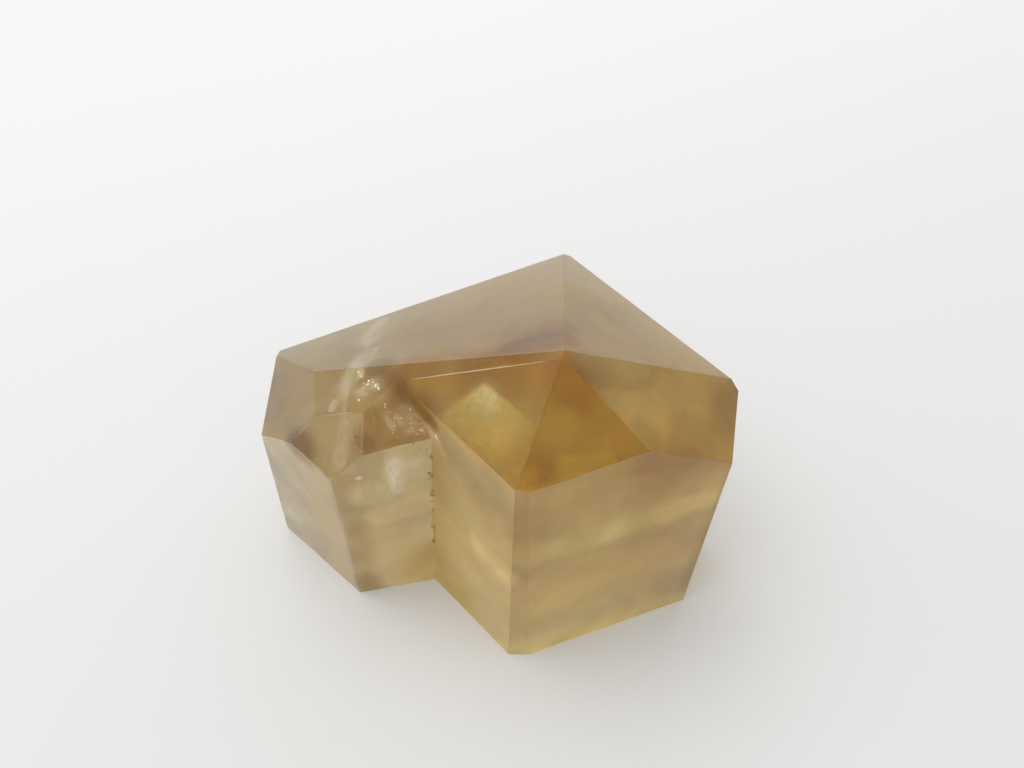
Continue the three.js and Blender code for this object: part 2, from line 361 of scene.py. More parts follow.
# The way in which painted shade darkens the table, and where the fall starts and ends along it.
TABLE_WAY = (0.45, -0.89, 0.0)
TABLE_RUN = (-160.0 * MM, 75.0 * MM)

# The soft lights round the crystal, by the setting that says how strong each is: what its strength
# is multiplied by, where it is, and how close to its middle it starts, as a cosine.
ROOM_LIGHTS = {
    "light_slant": (2.0, (-0.80, 0.50, 0.20), -1.0),
    "window_level": (1.0, (-0.95, 0.28, 0.15), 0.85),
    "ceiling_level": (1.0, (-0.35, 0.10, 0.93), 0.8),
    "backdrop_level": (1.0, (-0.05, 0.99, 0.10), 0.75),
    "corner_depth": (-1.0, (-0.68, 0.42, 0.60), 0.87),
}
LIGHT_BOUNCES = 24

# Where the camera stands, how far it looks down and how far it is turned about its own axis.
CAMERA_PLACE = (0.0025, -0.0542, 0.084)
CAMERA_DOWN = math.radians(47.41)
CAMERA_ROLL = math.radians(0.443)
CAMERA_NEAR = 5.0 * MM
SENSOR_WIDTH_MM = 36.0


def face_direction(azimuth, slope):
    """The unit vector that points out of a face, from its azimuth and slope in degrees."""
    around, down = math.radians(azimuth), math.radians(slope)
    return Vector((
        math.sin(down) * math.cos(around),
        math.sin(down) * math.sin(around),
        math.cos(down),
    ))


def nearest_face(normal):
    """The name of the polished face whose direction is closest to a normal."""
    return max(FACES, key=lambda name: normal.dot(face_direction(*FACES[name][:2])))


# ---- Settings ----


def colour_property(name, description, default):
    """A colour setting, as a plain red, green and blue share."""
    return FloatVectorProperty(
        name=name, description=description, default=default, size=3,
        min=0.0, max=1.0, subtype="COLOR",
    )


def length_property(name, description, default):
    """A length setting."""
    return FloatProperty(
        name=name, description=description, default=default, unit="LENGTH", precision=5)


def share_property(name, description, default, lowest=0.0):
    """A setting from 0 to 1."""
    return FloatProperty(
        name=name, description=description, default=default,
        min=lowest, max=1.0, subtype="FACTOR",
    )


def amount_property(name, description, default):
    """A setting that is any amount above 0."""
    return FloatProperty(name=name, description=description, default=default, min=0.0)


class CrystalSettings(PropertyGroup):
    """The stone: its polish and its colour."""

    edge_rounding: length_property("Edge rounding", "Width of the most worn edges", 0.45 * MM)
    crisp_share: share_property(
        "Crisp edge share", "Width of a crisp edge, as a share of a worn one", 0.4)
    refraction: FloatProperty(
        name="Refractive index", description="How strongly the quartz bends light",
        default=1.544, min=1.0, max=3.0,
    )
    clarity: share_property(
        "Clarity", "Share of the light that passes, the rest is a milky haze", 0.985, lowest=0.5)
    polished: share_property("Polished", "Roughness of the tip faces", 0.2)
    satin: share_property("Satin", "Roughness of the front and side walls", 0.34)
    ground: share_property("Ground", "Roughness of the back walls", 0.5)
    sawn: share_property("Sawn", "Roughness of the sawn base", 0.5)
    worn: share_property("Worn", "Roughness of the softened edges", 0.5)
    clouding: share_property("Clouding", "How much the depth of the colour wanders", 0.14)
    wave_length: length_property(
        "Wave length", "Length of the shallow waves in the hand-polished faces", 10.0 * MM)
    wave_height: length_property(
        "Wave height", "Height of the shallow waves in the polished faces", 1.0 * MM)
    body_colour: colour_property(
        "Body colour", "Colour that light keeps on its way through the stone",
        (0.920, 0.820, 0.455),
    )
    body_depth: amount_property(
        "Body depth", "How fast the stone takes light away, per metre", 80.0)
    clear: colour_property("Clear zone", "Stone behind the back faces", (1.0, 1.0, 1.0))
    honey: colour_property("Honey zone", "Stone under the main point", (0.92, 0.80, 0.48))
    amber: colour_property("Amber zone", "Deep stone under the main point", (0.83, 0.58, 0.055))
    deep: colour_property(
        "Deep amber zone", "Deepest stone under the main point", (0.80, 0.50, 0.045))
    brown: colour_property("Brown zone", "Stone under the side point", (0.56, 0.38, 0.20))
    pale: colour_property("Pale zone", "Stone on the left of the side crystal", (0.78, 0.70, 0.46))
    cream: colour_property("Cream zone", "Milky stone in the side point", (1.00, 1.00, 1.00))
    # Partly the stone's colour, partly painted shade on the main walls.
    smoke_and_shade: colour_property("Smoky and shaded zone", "Stone behind the main walls", (0.58, 0.505, 0.445))
    straw: colour_property("Straw zone", "Stone beside the groove", (0.94, 0.89, 0.80))
    olive: colour_property("Olive zone", "Stone between the two points", (0.93, 0.78, 0.26))
    milk: colour_property("Milky zone", "Stone on the far left", (0.84, 0.84, 1.00))
    # Partly hazy stone, partly painted shade on the side crystal's front wall.
    haze: colour_property("Hazy and shaded zone", "Stone behind the side crystal's front", (0.50, 0.42, 0.32))
    foot: colour_property("Foot zone", "Stone right above the sawn base", (0.82, 0.82, 0.94))
    # A paler tint on the softened edges: a painted highlight along them.
    edge: colour_property("Edges", "Stone right behind the softened edges", (0.80, 0.72, 0.58))
    stain: colour_property("Pit stain", "Dark stain in the pits of the groove", (0.42, 0.31, 0.20))


class VeilSettings(PropertyGroup):
    """The cloudy sheets inside the stone, and the sheet of painted reflection under the front tip
    face.
    """

    colour: colour_property("Veil colour", "Colour of the cloudy sheets", (0.96, 0.93, 0.86))
    opacity: share_property("Veil opacity", "How much of what lies behind a veil it hides", 0.7)
    # The painted reflection under the front tip face.
    tip_reflection_colour: colour_property(
        "Tip reflection colour", "Colour of the painted reflection under the front tip face",
        (1.00, 0.88, 0.58),
    )
    tip_reflection_opacity: share_property(
        "Tip reflection opacity", "How much of what lies behind the painted reflection it hides", 0.76)
    thickness: length_property("Veil thickness", "Thickness of a veil at its middle", 0.12 * MM)


class CloudSettings(PropertyGroup):
    """The cloudy cracks right under the front faces, with a painted glint and a painted glow among
    them.
    """

    soft_lump: length_property("Soft lump", "Size of the lumps in the soft clouds", 1.8 * MM)
    fine_lump: length_property("Fine lump", "Size of the lumps in the fine clouds", 0.45 * MM)
    thickness: length_property("Crack thickness", "Thickness of a cloudy crack", 0.01 * MM)


class FleckSettings(PropertyGroup):
    """The small bright cracks and a painted glint, the dark specks along the suture and the
    painted edge highlights.
    """

    size: length_property("Fleck size", "Width of a typical fleck", 0.36 * MM)
    colour: colour_property("Fleck colour", "Colour of the bright flecks", (0.97, 0.91, 0.77))
    edge_highlight_colour: colour_property("Edge highlight colour", "Colour of the painted edge highlights", (0.60, 0.46, 0.25))
    dark_colour: colour_property("Speck colour", "Colour of the dark specks", (0.16, 0.09, 0.05))


class StageSettings(PropertyGroup):
    """The table, the light and the camera."""

    table_colour: colour_property("Table colour", "Colour of the pale table", (0.80, 0.80, 0.797))
    table_shade: share_property(
        "Table shade", "Painted shade of the table at its front right against its back left", 0.86)
    light_level: amount_property("Light level", "Brightness of the white surroundings", 0.745)
    light_slant: amount_property(
        "Light slant", "How much brighter the surroundings are to the back left", 0.18)
    window_level: amount_property("Window level", "How much the low window on the left adds", 0.9)
    ceiling_level: amount_property(
        "Ceiling level", "How much the soft light above the table adds", 2.15)
    backdrop_level: amount_property(
        "Backdrop level", "How much the pale wall behind the table adds", 0.55)
    corner_depth: amount_property(
        "Corner depth", "How much dimmer the room's far left upper corner is", 0.45)
    lens: FloatProperty(
        name="Lens", description="Focal length of the camera, in millimetres",
        default=28.80, min=1.0,
    )


# ---- Meshes ----


def finished(work, name):
    """The edited mesh as a new mesh of its own."""
    mesh = bpy.data.meshes.new(name)
    work.to_mesh(mesh)
    work.free()
    return mesh


def whole_faces():
    """The crystal to edit, with the loose triangles of the CAD joined into whole flat faces."""
    work = bmesh.new()
    work.from_mesh(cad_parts[NODE].data)
    bmesh.ops.remove_doubles(work, verts=work.verts, dist=SAME_PLACE)
    bmesh.ops.dissolve_limit(
        work, angle_limit=SAME_FACE, verts=work.verts, edges=work.edges)
    work.normal_update()
    return work


def new_mesh(name, points, faces):
    """A mesh from corner points and the faces between them."""
    mesh = bpy.data.meshes.new(name)
    mesh.from_pydata(np.reshape(points, (-1, 3)).tolist(), [], faces)
    mesh.update()
    return mesh


def add_object(name, mesh, material):
    """A finished piece, which rides on the body, with the given material in its one slot."""
    mesh.materials.append(material)
    piece = bpy.data.objects.new(name, mesh)
    bpy.context.scene.collection.objects.link(piece)
    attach(piece, BODY)
    return piece


def sheet_mesh(name, points, fade, tint=None):
    """One or more open sheets, each from a grid of points.

    Neighbouring rows and columns are joined by quads. `fade` is one number a point and `tint` one
    colour a point, kept as attributes of those names.
    """
    rows, columns = points.shape[-3:-1]
    sheet_size = rows * columns
    corner = (np.arange(rows - 1)[:, None] * columns + np.arange(columns - 1)).reshape(-1)
    sheets = np.arange(points[..., 0].size // sheet_size)[:, None]
    corner = (sheets * sheet_size + corner).reshape(-1)
    quads = np.stack([corner, corner + 1, corner + columns + 1, corner + columns], axis=-1)
    mesh = new_mesh(name, points, quads.tolist())
    mesh.attributes.new("fade", "FLOAT", "POINT").data.foreach_set("value", fade.reshape(-1))
    if tint is not None:
        layer = mesh.attributes.new("tint", "FLOAT_COLOR", "POINT")
        layer.data.foreach_set("color", tint.reshape(-1))
    mesh.shade_smooth()
    return mesh


def chips_mesh(name, centres, sizes, flatness, seed):
    """Many small angular chips as one mesh.

    Each chip is an eight-sided double pyramid: six corners on three crossed axes, stretched at
    random, flattened along one axis, and turned at random about its centre.
    """
    rng = np.random.default_rng(seed)
    count = len(centres)
    corners = np.array([
        (1, 0, 0), (-1, 0, 0), (0, 1, 0), (0, -1, 0), (0, 0, 1), (0, 0, -1)], dtype=float)
    sides = np.array([
        (0, 2, 4), (2, 1, 4), (1, 3, 4), (3, 0, 4), (2, 0, 5), (1, 2, 5), (3, 1, 5), (0, 3, 5)])
    stretch = rng.uniform(*CHIP_CORNERS, (count, 6, 1)) * sizes[:, None, None] / 2
    shaped = corners * stretch * np.array([1.0, CHIP_BREADTH, flatness])
    turns, _ = np.linalg.qr(rng.normal(size=(count, 3, 3)))
    turns *= np.sign(np.linalg.det(turns))[:, None, None]
    vertices = np.einsum("nij,nkj->nki", turns, shaped) + centres[:, None, :]
    faces = sides + 6 * np.arange(count)[:, None, None]
    return new_mesh(name, vertices, faces.reshape(-1, 3).tolist())


# ---- Materials ----


class Nodes:
    """A short way to build the node tree of a material or of the surroundings."""

    def __init__(self, owner, place="Object"):
        owner.use_nodes = True
        self.owner, self.tree = owner, owner.node_tree
        self.place = self.add("ShaderNodeTexCoord").outputs[place]

    def add(self, kind, **values):
        """A new node with the given values on its own settings."""
        node = self.tree.nodes.new(kind)
        for name, value in values.items():
            setattr(node, name, value)
        return node

    def link(self, value, socket):
        """Puts a number, a colour or another node's output on a socket."""
        if isinstance(value, bpy.types.NodeSocket):
            self.tree.links.new(value, socket)
        else:
            socket.default_value = value

    def math(self, operation, *values):
        """The result of a sum on numbers or outputs."""
        node = self.add("ShaderNodeMath", operation=operation)
        for value, socket in zip(values, node.inputs):
            self.link(value, socket)
        return node.outputs[0]

    def vector(self, operation, *values):
        """The result of a sum on vectors, a number for a length or a dot product."""
        node = self.add("ShaderNodeVectorMath", operation=operation)
        for value, socket in zip(values, node.inputs):
            self.link(value, socket)
        return node.outputs["Value" if operation in {"LENGTH", "DOT_PRODUCT"} else "Vector"]

    def noise(self, size, detail=2.0, stretch=(1.0, 1.0, 1.0), shift=(0.0, 0.0, 0.0)):
        """Soft noise from 0 to 1 whose lumps are about `size` across, in metres."""
        mapping = self.add("ShaderNodeMapping")
        mapping.inputs["Scale"].default_value = stretch
        mapping.inputs["Location"].default_value = shift
        self.link(self.place, mapping.inputs["Vector"])
        node = self.add("ShaderNodeTexNoise")
        node.inputs["Scale"].default_value = 1.0 / size
        node.inputs["Detail"].default_value = detail
        self.link(mapping.outputs[0], node.inputs["Vector"])
        return node.outputs["Fac"]

    def remap(self, value, low, high, to_low=0.0, to_high=1.0):
        """A smooth step of a number from one range to another."""
        node = self.add("ShaderNodeMapRange", interpolation_type="SMOOTHSTEP")
        for item, socket in zip((value, low, high, to_low, to_high), node.inputs):
            self.link(item, socket)
        return node.outputs[0]

    def attribute(self, name, output="Fac"):
        """An attribute of the mesh, as a number or another of its outputs."""
        return self.add("ShaderNodeAttribute", attribute_name=name).outputs[output]

    def tinted(self, tone, factor):
        """A colour made lighter or darker by a factor."""
        node = self.add("ShaderNodeVectorMath", operation="SCALE")
        self.link(tone, node.inputs[0])
        self.link(factor, node.inputs["Scale"])
        return node.outputs[0]

    def near(self, away, radius):
        """1 where a vector is short, falling softly to 0 at a radius in millimetres."""
        reach = radius * MM
        distance = self.vector("LENGTH", away)
        return self.remap(distance, SPOT_PLATEAU * reach, reach, 1.0, 0.0)

    def near_point(self, centre, radius, drawn_out=1.0):
        """1 round a centre, falling softly to 0 at a radius, both in millimetres.

        `drawn_out` stretches the place along the upright axis.
        """
        away = self.vector("SUBTRACT", self.place, [value * MM for value in centre])
        return self.near(self.vector("MULTIPLY", away, (1.0, 1.0, 1.0 / drawn_out)), radius)

    def near_line(self, start, end, radius):
        """1 round a straight line, falling softly to 0 at a radius, all in millimetres."""
        line = (Vector(end) - Vector(start)) * MM
        away = self.vector("SUBTRACT", self.place, Vector(start) * MM)
        along = self.vector("DOT_PRODUCT", away, line / line.length_squared)
        along = self.math("MINIMUM", self.math("MAXIMUM", along, 0.0), 1.0)
        return self.near(self.vector("SUBTRACT", away, self.tinted(tuple(line), along)), radius)

    def mixed(self, tone, other, cover, blend="MIX"):
        """A colour blended with another by a share."""
        mix = self.add("ShaderNodeMix", data_type="RGBA", blend_type=blend)
        self.link(cover, mix.inputs[0])
        self.link(tone, mix.inputs[6])
        self.link(other, mix.inputs[7])
        return mix.outputs[2]

    def set(self, node, **values):
        """Values for a node's sockets, by their names with spaces as underscores."""
        for name, value in values.items():
            self.link(value, self.tree.nodes[node].inputs[name.replace("_", " ")])


def material_nodes(name):
    """The node tree of a new material."""
    return Nodes(bpy.data.materials.new(name))


def stone_material(settings):
    """Clear citrine: plain glass with its colour in its depth, zoned and gently banded.

    The `zone` attribute holds the tint behind each face, partly the stone's colour and partly
    painted shade, and in its alpha how strongly the bands show there. Some spots and streaks are
    painted light and shade too. `finish` holds each face's roughness.
    """
    nodes = material_nodes("clear_citrine")
    clouding = nodes.remap(
        nodes.noise(size=4.0 * MM, detail=4.0, shift=(0.03, 0.01, 0.0)), low=0.3, high=0.7,
        to_low=1.0 - settings.clouding, to_high=1.0 + settings.clouding)
    zone, bands = nodes.attribute("zone", "Color"), nodes.attribute("zone", "Alpha")
    tone = nodes.tinted(nodes.mixed(zone, growth_and_light_bands(nodes), bands, "MULTIPLY"), clouding)
    for _, centre, radius, left in DEEP_SPOTS_MM:
        tone = nodes.mixed(tone, (*left, 1.0), nodes.near_point(centre, radius), "MULTIPLY")
    for _, start, end, radius, left in STREAKS_MM:
        tone = nodes.mixed(tone, (*left, 1.0), nodes.near_line(start, end, radius), "MULTIPLY")
    streaks = nodes.remap(
        nodes.noise(size=1.6 * MM, detail=4.0, stretch=(1.0, 1.0, 0.3)), low=0.4, high=0.6)
    # Paler stone, and painted light where a spot stands for the tip face's reflection and the glow
    # by the groove.
    for _, centre, radius, drawn_out, streaky, pale in PALE_SPOTS_MM:
        cover = nodes.math("MULTIPLY_ADD", streaks, streaky, 1.0 - streaky)
        cover = nodes.math("MULTIPLY", nodes.near_point(centre, radius, drawn_out), cover)
        tone = nodes.mixed(tone, (*pale, 1.0), cover)
    bump = nodes.add("ShaderNodeBump")
    waves = nodes.noise(settings.wave_length, detail=1.5)
    nodes.set(bump.name, Distance=settings.wave_height, Height=waves)
    nodes.set(
        "Principled BSDF",
        Base_Color=tone,
        Transmission_Weight=settings.clarity,
        IOR=settings.refraction,
        Roughness=nodes.attribute("finish"),
        Normal=bump.outputs[0],
    )
    depth = nodes.add("ShaderNodeVolumeAbsorption")
    nodes.set(depth.name, Color=(*settings.body_colour, 1.0), Density=settings.body_depth)
    nodes.set("Material Output", Volume=depth.outputs[0])
    return nodes.owner


def growth_and_light_bands(nodes):
    """Bands up the walls, partly growth and partly painted light and shade: the share of each
    colour that the stone keeps at each height.

    The height is bent by soft noise and falls a little to the right, so that the bands rise
    there, and a ramp of colours turns it into the bands. The ramp's colours are halved.
    """
    parts = nodes.add("ShaderNodeSeparateXYZ")
    nodes.link(nodes.place, parts.inputs[0])
    waves = nodes.noise(BAND_WAVE, detail=3.0)
    warp = nodes.math("MULTIPLY_ADD", waves, 2.0 * BAND_SWING, -BAND_SWING)
    fall = nodes.math("MULTIPLY_ADD", parts.outputs["X"], -BAND_RISE, warp)
    height = nodes.math("DIVIDE", nodes.math("ADD", parts.outputs["Z"], fall), BAND_TOP)
    ramp = nodes.add("ShaderNodeValToRGB")
    ramp.color_ramp.interpolation = "B_SPLINE"
    stops = ramp.color_ramp.elements
    stops[0].position, stops[1].position = BAND_STOPS[0][0], BAND_STOPS[-1][0]
    for position, _ in BAND_STOPS[1:-1]:
        stops.new(position)
    for stop, (_, tone) in zip(stops, BAND_STOPS):
        stop.color = (*tone, 1.0)
    nodes.link(height, ramp.inputs["Fac"])
    return nodes.tinted(ramp.outputs["Color"], 2.0)


def veil_material(name, tone, opacity, size, limits, stretch):
    """A sheet that thins out with the mesh's `fade` and breaks up in soft lumps: a milky veil, and
    also the painted reflection under the front tip face.
    """
    nodes = material_nodes(name)
    fade = nodes.attribute("fade")
    lumps = nodes.noise(size, detail=4.0, stretch=stretch)
    cover = nodes.math("MULTIPLY", fade, nodes.remap(lumps, *limits))
    nodes.set(
        "Principled BSDF",
        Base_Color=(*tone, 1.0),
        Roughness=0.7,
        Specular_IOR_Level=0.1,
        Alpha=nodes.math("MULTIPLY", cover, opacity),
    )
    return nodes.owner


def cloud_material(name, size, detail):
    """A cloudy crack in the colour of the mesh's `tint`, thinned by its `fade` and by lumps; some
    patches are painted light.

    Light crosses both sides of the crack, so each side lets the square root of the whole pass.
    """
    nodes = material_nodes(name)
    fade = nodes.attribute("fade")
    lumps = nodes.remap(
        nodes.noise(size, detail, stretch=(1.0, 1.0, 0.6)), low=0.36, high=0.62, to_low=0.35)
    passing = nodes.math("SUBTRACT", 1.0, nodes.math("MULTIPLY", fade, lumps))
    nodes.set(
        "Principled BSDF",
        Base_Color=nodes.attribute("tint", "Color"),
        Roughness=0.8,
        Specular_IOR_Level=0.1,
        Alpha=nodes.math("SUBTRACT", 1.0, nodes.math("SQRT", passing)),
    )
    return nodes.owner


def chip_material(name, tone, roughness):
    """A bright or dark chip, with a little variation from lump to lump."""
    nodes = material_nodes(name)
    lumps = nodes.remap(nodes.noise(size=MM), low=0.3, high=0.7, to_low=0.8)
    nodes.set(
        "Principled BSDF",
        Base_Color=nodes.tinted((*tone,), lumps),
        Roughness=roughness,
    )
    return nodes.owner


def table_material(settings):
    """Matt pale card with painted shade that darkens it towards the front right."""
    nodes = material_nodes("pale_card")
    across = nodes.vector("DOT_PRODUCT", nodes.place, TABLE_WAY)
    # Painted shade: the table darkens towards the front right, where less light falls.
    fall = nodes.remap(across, *TABLE_RUN, 1.0, settings.table_shade)
    grain = nodes.remap(
        nodes.noise(size=0.8 * MM, detail=3.0), low=0.2, high=0.8, to_low=0.995)
    nodes.set(
        "Principled BSDF",
        Base_Color=nodes.tinted((*settings.table_colour,), nodes.math("MULTIPLY", fall, grain)),
        Roughness=0.7,
    )
    return nodes.owner


# ---- Shapes ----


def crystal_mesh(settings):
    """The crystal's own faces, with the colour zone and the finish of each, and softened edges.

    The edges are softened by a Bevel modifier on a spare object, which puts the new narrow faces
    in a slot of their own, so that they can be given the finish of a worn edge and a paler tint, a
    painted highlight.
    """
    work = whole_faces()
    softness = work.edges.layers.float.new("bevel_weight_edge")
    names = {face: nearest_face(face.normal) for face in work.faces}
    for edge in work.edges:
        sides = {names[face] for face in edge.link_faces}
        if edge.calc_length() < SHORT_EDGE or edge.calc_face_angle_signed() < BLUNT_ANGLE:
            continue
        worn = sides & WORN_FACES or sides in WORN_EDGES
        edge[softness] = 1.0 if worn else settings.crisp_share
    mesh = softened(finished(work, "sharp"), settings.edge_rounding)
    mesh.name = "citrine_body"

    work = bmesh.new()
    work.from_mesh(mesh)
    zone = work.loops.layers.float_color.new("zone")
    finish = work.faces.layers.float.new("finish")
    for face in work.faces:
        zone_name, finish_name = FACES[nearest_face(face.normal)][2:]
        # The narrow edge faces get the paler edge tint, a painted highlight, and the roughness of
        # a worn edge.
        if face.material_index == EDGE_SLOT:
            zone_name, finish_name = "edge", "worn"
        elif face.calc_area() < PIT_FACE_AREA:
            zone_name, finish_name = "stain", "sawn"
        face.material_index = 0
        bands = BAND_SHARES.get(zone_name, 0.0)
        face[finish] = getattr(settings, finish_name)
        for loop in face.loops:
            loop[zone] = (*getattr(settings, zone_name), bands)
    work.to_mesh(mesh)
    work.free()
    return mesh


def softened(mesh, width):
    """The mesh with its weighted edges bevelled, the narrow new faces in the edge slot."""
    spare = bpy.data.objects.new("spare", mesh)
    bpy.context.scene.collection.objects.link(spare)
    polish = spare.modifiers.new("polish", "BEVEL")
    polish.limit_method = "WEIGHT"
    polish.width = width
    polish.segments = EDGE_SEGMENTS
    polish.material = EDGE_SLOT
    for _ in range(EDGE_SLOT + 1):
        mesh.materials.append(None)
    polished = bpy.data.meshes.new_from_object(spare.evaluated_get(
        bpy.context.evaluated_depsgraph_get()))
    polished.materials.clear()
    bpy.data.objects.remove(spare)
    bpy.data.meshes.remove(mesh)
    return polished


def highlight_tubes():
    """The painted highlights along some of the edges, as thin lines in one mesh.

    Each is a six-sided tube along the line where two named faces meet. Its radius swells along
    the way as the root of half a sine, so that it runs out at both ends.
    """
    work = whole_faces()
    ends, widths = [], []
    for edge in work.edges:
        sides = frozenset(nearest_face(face.normal) for face in edge.link_faces)
        if sides in RIDGES_MM and edge.calc_length() > SHORT_EDGE:
            outward = sum((face.normal for face in edge.link_faces), Vector()).normalized()
            ends.append([corner.co - RIDGE_SINK * outward for corner in edge.verts])
            widths.append(RIDGES_MM[sides])
    work.free()
    first, second = np.array(ends).swapaxes(0, 1)
    way = np.linspace(*RIDGE_ENDS, RIDGE_STEPS)
    around = np.linspace(0, 2 * math.pi, RIDGE_CORNERS, endpoint=False)[:, None]
    line = second - first
    side = np.cross(line, RIDGE_ASIDE)
    side /= np.linalg.norm(side, axis=1, keepdims=True)
    other = np.cross(line / np.linalg.norm(line, axis=1, keepdims=True), side)
    radius = np.array(widths)[:, None] * MM / 2 * np.sin(math.pi * way) ** 0.5
    ring = np.cos(around) * side[:, None, :] + np.sin(around) * other[:, None, :]
    middle = first[:, None, :] + way[:, None] * line[:, None, :]
    points = middle[:, :, None, :] + radius[:, :, None, None] * ring[:, None, :, :]
    tubes, steps, corners = points.shape[:3]
    start = (np.arange(tubes)[:, None] * steps + np.arange(steps - 1)).reshape(-1, 1) * corners
    here, following = np.arange(corners), (np.arange(corners) + 1) % corners
    quads = np.stack([start + here, start + following,
                      start + following + corners, start + here + corners], axis=-1)
    caps = np.arange(tubes)[:, None] * steps * corners + here
    far_caps = caps + (steps - 1) * corners
    faces = quads.reshape(-1, 4).tolist() + caps[:, ::-1].tolist() + far_caps.tolist()
    return new_mesh("worn_ridges", points, faces)


def face_planes():
    """A point and the outward normal of every polished face, by the face's name."""
    mesh = finished(whole_faces(), "planes")
    largest = {}
    for polygon in mesh.polygons:
        name = nearest_face(polygon.normal)
        if name not in largest or polygon.area > largest[name].area:
            largest[name] = polygon
    planes = {
        name: (np.array(polygon.center), np.array(polygon.normal))
        for name, polygon in largest.items()}
    bpy.data.meshes.remove(mesh)
    return planes


def roof_height(x, y):
    """The height of the crystal's top over a place in plan, in metres.

    Each crystal's roof is the lowest of its own tip faces, the body's roof is the higher of the
    two, and the two shared tip faces cut it off.
    """
    planes = face_planes()

    def lowest(prefix):
        return np.minimum.reduce([
            (normal @ point - normal[0] * x - normal[1] * y) / normal[2]
            for name, (point, normal) in planes.items() if name.startswith(prefix + " tip")])

    return np.minimum(lowest("shared"), np.maximum(lowest("main"), lowest("side")))


def grid(rows, columns):
    """The share of the way along and across, for every point of a sheet."""
    return np.meshgrid(np.linspace(0, 1, rows), np.linspace(0, 1, columns), indexing="ij")


def smooth_step(value, low, high):
    """A smooth rise from 0 at `low` to 1 at `high`."""
    part = np.clip((value - low) / (high - low), 0.0, 1.0)
    return part * part * (3.0 - 2.0 * part)


def hem(way, near, far):
    """A fade that rises smoothly over the first share of the way and falls over the last."""
    return smooth_step(way, 0.0, near) * smooth_step(1 - way, 0.0, far)


def suture_ribbon():
    """The milky ribbon of the suture.

    Its middle line runs through the given points in plan, it is as wide as they say, and its
    height is the roof's less an even depth, with ripples as a sum of two sines. Its right rim is
    sharp and it thins out to the left.
    """
    line = np.array(SUTURE_LINE_MM) * MM
    along, across = grid(rows=120, columns=24)
    knots = np.linspace(0, 1, len(line))
    middle_x, y, width = (np.interp(along, knots, column) for column in line.T)
    x = middle_x + (across - 0.5) * width + SUTURE_SWAY * np.sin(19.0 * along)
    ripple = np.sin(31.0 * along + 4.0 * across) + np.sin(17.0 * along - 9.0 * across)
    z = roof_height(x, y) - SUTURE_DEPTH - SUTURE_RIPPLE * ripple
    fade = SUTURE_COVER * hem(across, near=0.6, far=0.12) * hem(along, near=0.03, far=0.25)
    return np.stack([x, y, z], axis=-1), fade


def suture_wall():
    """The faint upright sheet below the ribbon, down to the base.

    Its x is a sine of the way back and of the height about the ribbon's line.
    """
    way, height = grid(rows=60, columns=60)
    y = WALL_FRONT + (WALL_BACK - WALL_FRONT) * way
    x = WALL_MIDDLE + WALL_SWING * np.sin(7.0 * way + 5.0 * height) + WALL_SET_OFF * (1 - height)
    z = WALL_FOOT + (roof_height(x, y) - WALL_HEADROOM - WALL_FOOT) * height
    fade = WALL_COVER * hem(way, near=0.2, far=0.2)
    fade = fade * smooth_step(height, 0.2, 0.9) * smooth_step(1 - height, 0.0, 0.1)
    return np.stack([x, y, z], axis=-1), fade


def patch_sheet(corner, along, across, bulge):
    """A flat patch from a corner along two sides, bulged out of its plane as a product of sines.

    It is densest at its corner, ends sharply at the two sides that meet there, and thins out
    towards the other two.
    """
    s, t = grid(rows=40, columns=40)
    corner, along, across = (np.array(item) for item in (corner, along, across))
    normal = np.cross(along, across)
    normal = normal / np.linalg.norm(normal)
    rise = bulge * np.sin(math.pi * s) * np.sin(math.pi * t)
    points = corner + s[..., None] * along + t[..., None] * across + rise[..., None] * normal
    core = 1 - smooth_step(np.hypot(s, t), *TIP_REFLECTION_CORE)
    fade = TIP_REFLECTION_REST + (1 - TIP_REFLECTION_REST) * core
    fade = fade * hem(s, near=TIP_REFLECTION_RIM, far=0.5) * hem(t, near=TIP_REFLECTION_RIM, far=0.5)
    return points * MM, fade


def face_clouds(clouds):
    """The cloudy cracks under the faces, and the painted glint and glow among them, each a patch
    in the plane of its face.

    A patch runs from its start to its end and is as wide as its width. It fades as a sine of the
    way along and of a power of the way across, so that its densest line can lie off its middle.
    What would reach past a neighbouring face is moved back along its own face to just short of it.
    """
    planes = face_planes()
    along, across = grid(rows=24, columns=16)
    points, fades, tints = [], [], []
    for face, start, end, width, strength, shift, tone in clouds:
        middle, normal = planes[face]
        start, end = (np.array(place) * MM for place in (start, end))
        start, end = (place - (place - middle) @ normal * normal for place in (start, end))
        side = np.cross(normal, end - start)
        side *= width * MM / np.linalg.norm(side)
        patch = start + along[..., None] * (end - start) + (across[..., None] - 0.5) * side
        own = "main" if face.startswith("main") else "side"
        for name, (corner, outward) in planes.items():
            if name != face and name.startswith((own, "shared")):
                past = np.maximum((patch - corner) @ outward + CLOUD_MARGIN, 0.0)
                inward = outward - (outward @ normal) * normal
                patch = patch - past[..., None] * inward / (inward @ inward)
        points.append(patch + CLOUD_RISE * normal)
        shape = np.sin(math.pi * along) ** 0.6 * np.sin(math.pi * across ** shift)
        fades.append(strength * shape)
        tints.append(np.broadcast_to((*tone, 1.0), (*shape.shape, 4)))
    return np.stack(points), np.stack(fades), np.stack(tints)


def scatter(clusters, size, seed):
    """Centres and sizes of chips: normal clouds round each cluster's centre, sizes log-normal.

    Each centre is moved along its face's normal into the plane of the face.
    """
    rng = np.random.default_rng(seed)
    planes = face_planes()
    centres, sizes = [], []
    for face, centre, spread, count, scale in clusters:
        cloud = (np.array(centre) + rng.normal(size=(count, 3)) * np.array(spread)) * MM
        point, normal = planes[face]
        centres.append(cloud - np.outer((cloud - point) @ normal, normal))
        sizes.append(size * scale * rng.lognormal(0.0, CHIP_VARIATION, count))
    return np.vstack(centres), np.concatenate(sizes)


# ---- Operators ----


